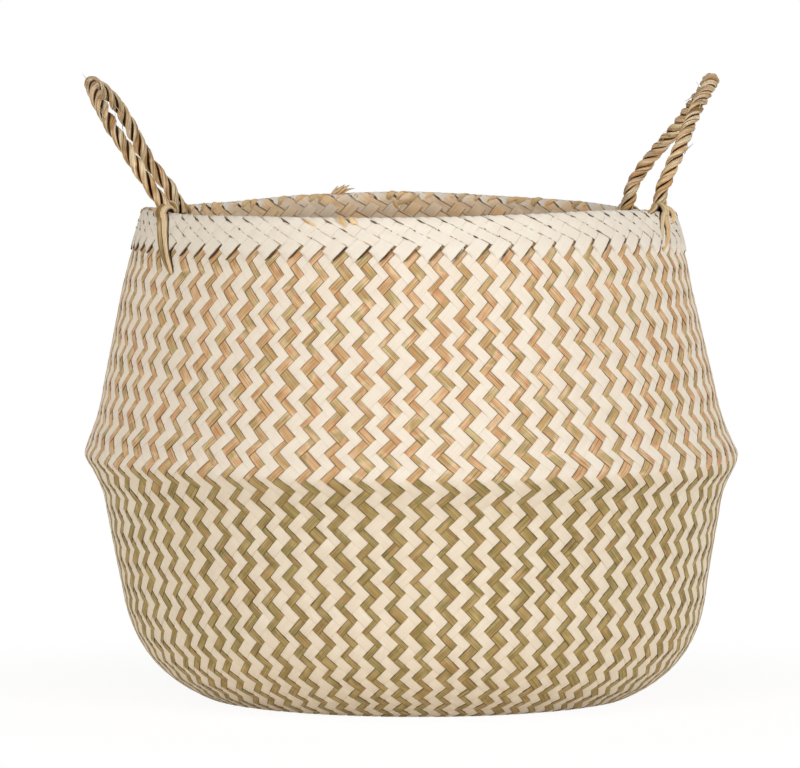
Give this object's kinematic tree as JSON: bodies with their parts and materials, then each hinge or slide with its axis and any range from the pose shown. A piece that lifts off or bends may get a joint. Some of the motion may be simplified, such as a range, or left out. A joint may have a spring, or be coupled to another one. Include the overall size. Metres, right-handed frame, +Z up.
{
  "type": "belly basket",
  "caption": "Round plaited seagrass basket with a pinched, foldable belly, a turned-down white border and twisted rope handles that swing.",
  "frame": {"origin": "middle of the flat foot, on the surface that the basket stands on", "axes": "+Z up through the mouth, X through both handles, -Y towards the front of the picture"},
  "size_m": [0.3992, 0.3986, 0.3816],
  "materials": {
    "lower_weave": "matte",
    "upper_weave": "matte",
    "white_border": "matte",
    "rope": "matte"
  },
  "bodies": {
    "basket": {"base_weave": "lower_weave", "lower_wall": "lower_weave", "belly_crease": "upper_weave"},
    "rim": {"upper_wall": "upper_weave", "rim_border": "white_border", "left_front_lashing_a": "rope", "left_front_lashing_b": "rope", "left_back_lashing_a": "rope", "left_back_lashing_b": "rope", "right_front_lashing_a": "rope", "right_front_lashing_b": "rope", "right_back_lashing_a": "rope", "right_back_lashing_b": "rope"},
    "left_handle": {"left_handle_strand_1": "rope", "left_handle_strand_2": "rope", "left_handle_strand_3": "rope"},
    "right_handle": {"right_handle_strand_1": "rope", "right_handle_strand_2": "rope", "right_handle_strand_3": "rope"}
  },
  "joints": [
    {"name": "belly_fold", "type": "slide", "parent": "basket", "child": "rim", "axis": [0, 0, -1], "range_m": [0, 0.08], "deforming": ["belly_crease"]},
    {"name": "left_handle_swing", "type": "hinge", "parent": "rim", "child": "left_handle", "pos_m": [-0.14749, 0, 0.31025], "axis": [0, -1, 0], "range_deg": [-125.5, 54.5]},
    {"name": "right_handle_swing", "type": "hinge", "parent": "rim", "child": "right_handle", "pos_m": [0.14649, 0.01712, 0.31025], "axis": [-0.1161, 0.9932, 0], "range_deg": [-121, 59]}
  ]
}
